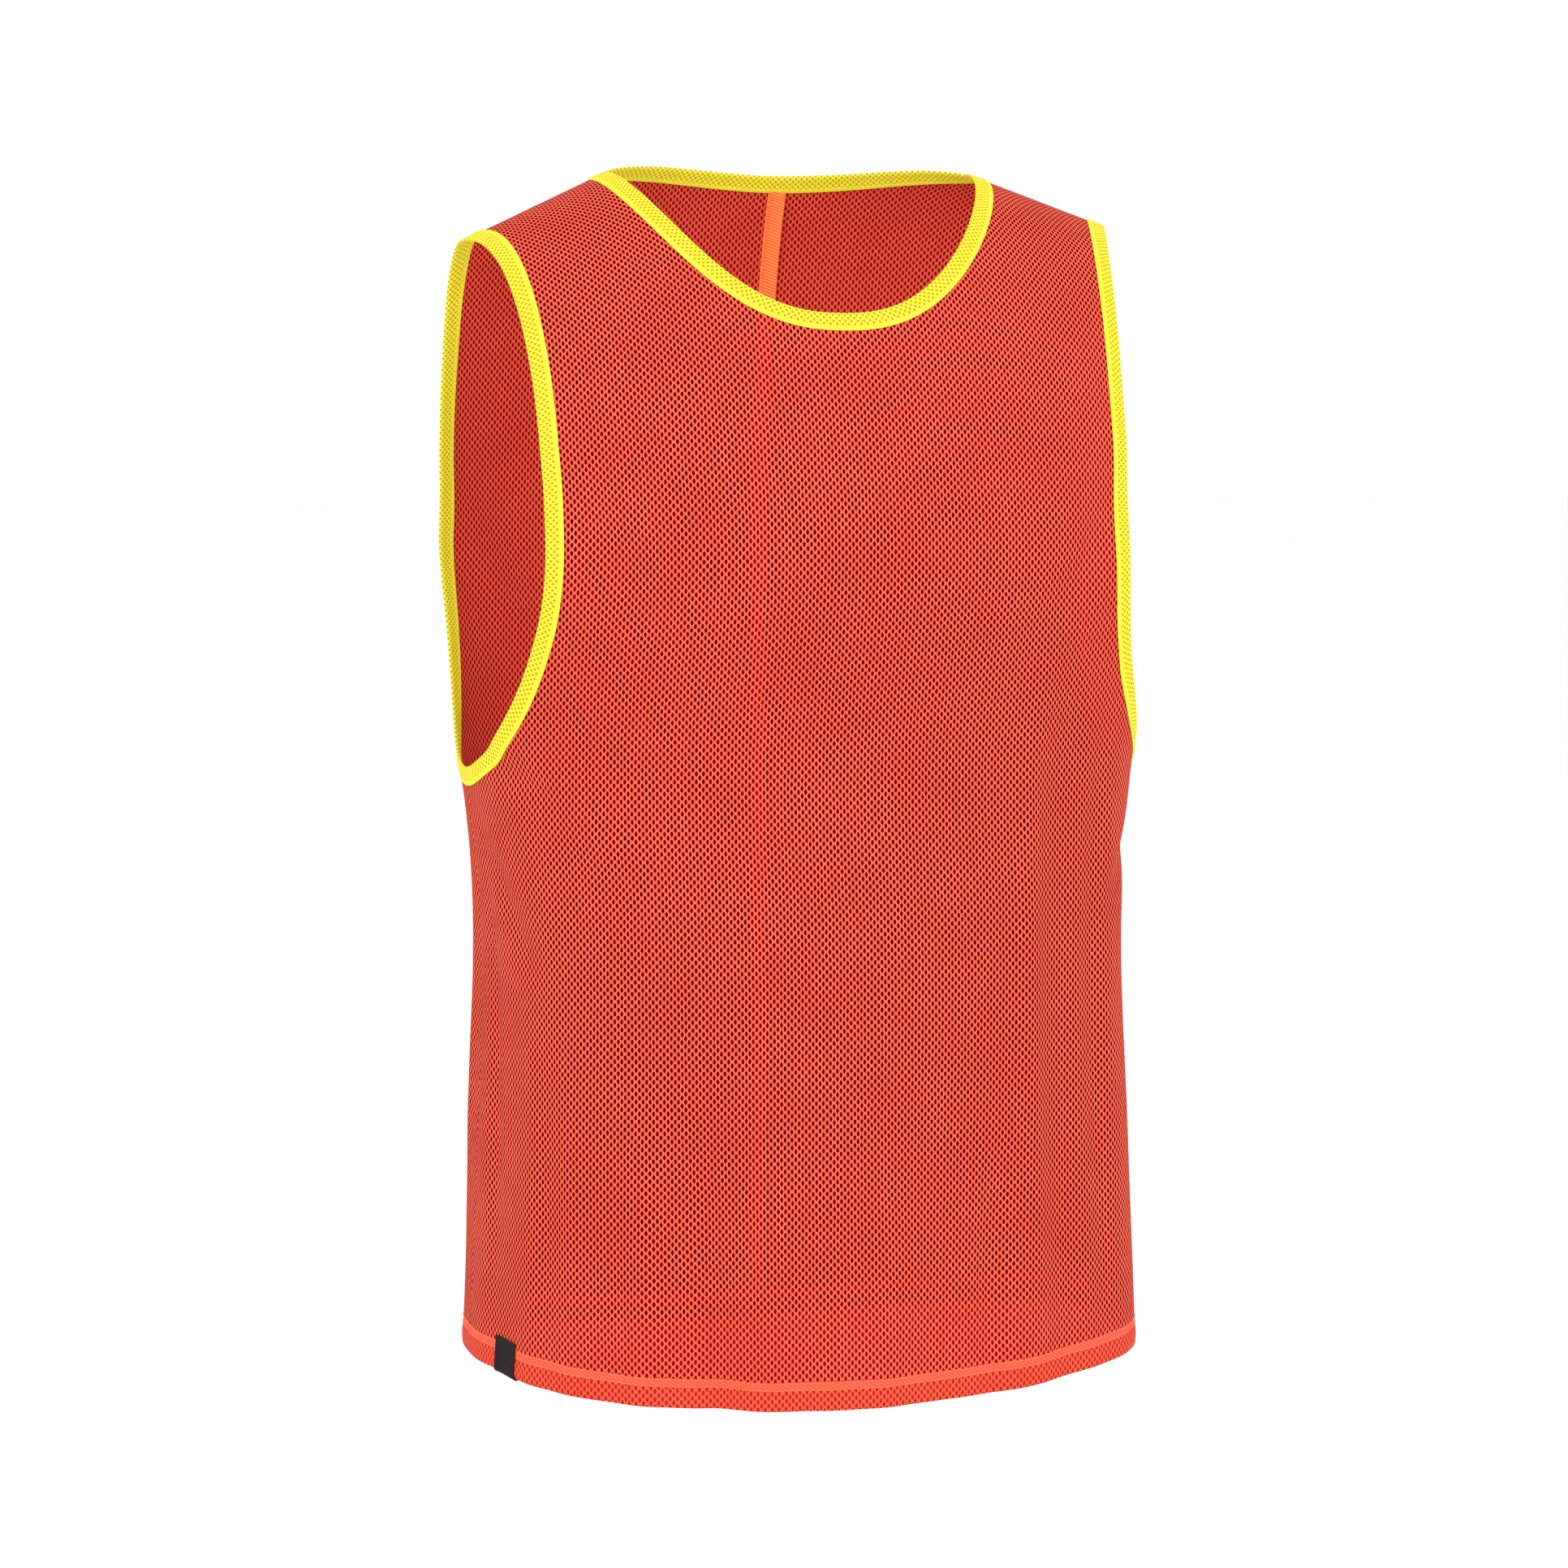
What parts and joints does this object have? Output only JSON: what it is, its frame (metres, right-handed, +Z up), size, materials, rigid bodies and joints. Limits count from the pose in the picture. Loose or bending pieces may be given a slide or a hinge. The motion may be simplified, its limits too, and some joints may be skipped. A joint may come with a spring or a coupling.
{
  "type": "training bib",
  "caption": "Sleeveless mesh training bib held open as worn, with contrast binding round the neck and armholes, a turned-up hem and a bare hem tab.",
  "frame": {"origin": "middle of the shoulder line, level with the two neck points where the wearer's shoulders hold the bib", "axes": "+Z up, -Y towards the front of the bib, +X towards the wearer's left"},
  "size_m": [0.3968, 0.277, 0.7041],
  "materials": {
    "body_mesh": "fluorescent orange-red warp-knitted polyester mesh with small diamond holes",
    "binding_mesh": "fluorescent yellow knitted mesh strip, folded",
    "woven_tab": "dark woven ribbon, bare"
  },
  "bodies": {
    "root": {"front": "body_mesh", "back_left": "body_mesh", "back_right": "body_mesh", "back_seam": "body_mesh", "hem_front": "body_mesh", "hem_back_left": "body_mesh", "hem_back_right": "body_mesh", "neck_binding": "binding_mesh", "arm_binding_left": "binding_mesh", "arm_binding_right": "binding_mesh", "hem_tab": "woven_tab"}
  },
  "joints": []
}
